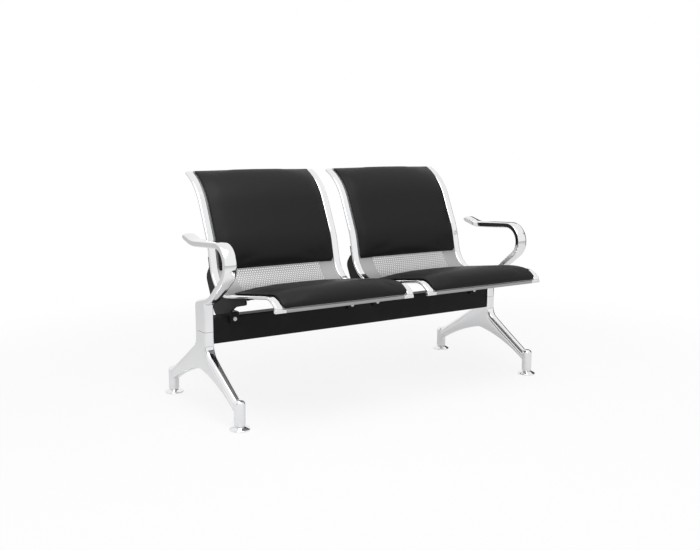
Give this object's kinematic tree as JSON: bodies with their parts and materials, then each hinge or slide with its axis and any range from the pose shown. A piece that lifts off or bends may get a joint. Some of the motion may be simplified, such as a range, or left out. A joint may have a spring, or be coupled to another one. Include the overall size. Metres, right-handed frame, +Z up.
{
  "type": "waiting bench",
  "caption": "Padded waiting-room bench: black cushions on bent perforated sheet seats with chrome rails, on a steel beam with cast legs and looped armrests.",
  "frame": {"origin": "middle of the bench on the floor, under the centre of its bounding box", "axes": "+X along the beam to the right, front towards -Y, +Z up"},
  "size_m": [1.32, 0.6819, 0.7982],
  "materials": {
    "chrome": "polished",
    "silver_sheet": "satin",
    "black_coat": "satin",
    "black_leather": "satin",
    "plywood": "matte",
    "zinc": "satin"
  },
  "bodies": {
    "bench": {"beam": "black_coat", "end_bolts": "zinc", "left_leg": "chrome", "right_leg": "chrome", "left_arm": "chrome", "right_arm": "chrome", "left_seat_shell": "silver_sheet", "left_seat_left_rail": "chrome", "left_seat_right_rail": "chrome", "left_seat_rail_caps": "chrome", "left_seat_toes": "chrome", "left_seat_front_bar": "silver_sheet", "left_seat_top_bar": "silver_sheet", "left_seat_left_bracket": "black_coat", "left_seat_right_bracket": "black_coat", "left_seat_bracket_bolts": "zinc", "left_seat_bracket_nuts": "zinc", "left_seat_rail_screws": "zinc", "left_seat_board": "plywood", "left_back_board": "plywood", "left_seat_cushion": "black_leather", "left_back_cushion": "black_leather", "left_seat_board_screws": "zinc", "left_back_board_screws": "zinc", "right_seat_shell": "silver_sheet", "right_seat_left_rail": "chrome", "right_seat_right_rail": "chrome", "right_seat_rail_caps": "chrome", "right_seat_toes": "chrome", "right_seat_front_bar": "silver_sheet", "right_seat_top_bar": "silver_sheet", "right_seat_left_bracket": "black_coat", "right_seat_right_bracket": "black_coat", "right_seat_bracket_bolts": "zinc", "right_seat_bracket_nuts": "zinc", "right_seat_rail_screws": "zinc", "right_seat_board": "plywood", "right_back_board": "plywood", "right_seat_cushion": "black_leather", "right_back_cushion": "black_leather", "right_seat_board_screws": "zinc", "right_back_board_screws": "zinc"},
    "front_left_foot": {"front_left_foot_disc": "chrome", "front_left_foot_stud": "zinc"},
    "rear_left_foot": {"rear_left_foot_disc": "chrome", "rear_left_foot_stud": "zinc"},
    "front_right_foot": {"front_right_foot_disc": "chrome", "front_right_foot_stud": "zinc"},
    "rear_right_foot": {"rear_right_foot_disc": "chrome", "rear_right_foot_stud": "zinc"}
  },
  "joints": [
    {"name": "front_left_foot_level", "type": "slide", "parent": "bench", "child": "front_left_foot", "axis": [0, 0, 1], "range_m": [-0.015, 0]},
    {"name": "rear_left_foot_level", "type": "slide", "parent": "bench", "child": "rear_left_foot", "axis": [0, 0, 1], "range_m": [-0.015, 0]},
    {"name": "front_right_foot_level", "type": "slide", "parent": "bench", "child": "front_right_foot", "axis": [0, 0, 1], "range_m": [-0.015, 0]},
    {"name": "rear_right_foot_level", "type": "slide", "parent": "bench", "child": "rear_right_foot", "axis": [0, 0, 1], "range_m": [-0.015, 0]}
  ]
}
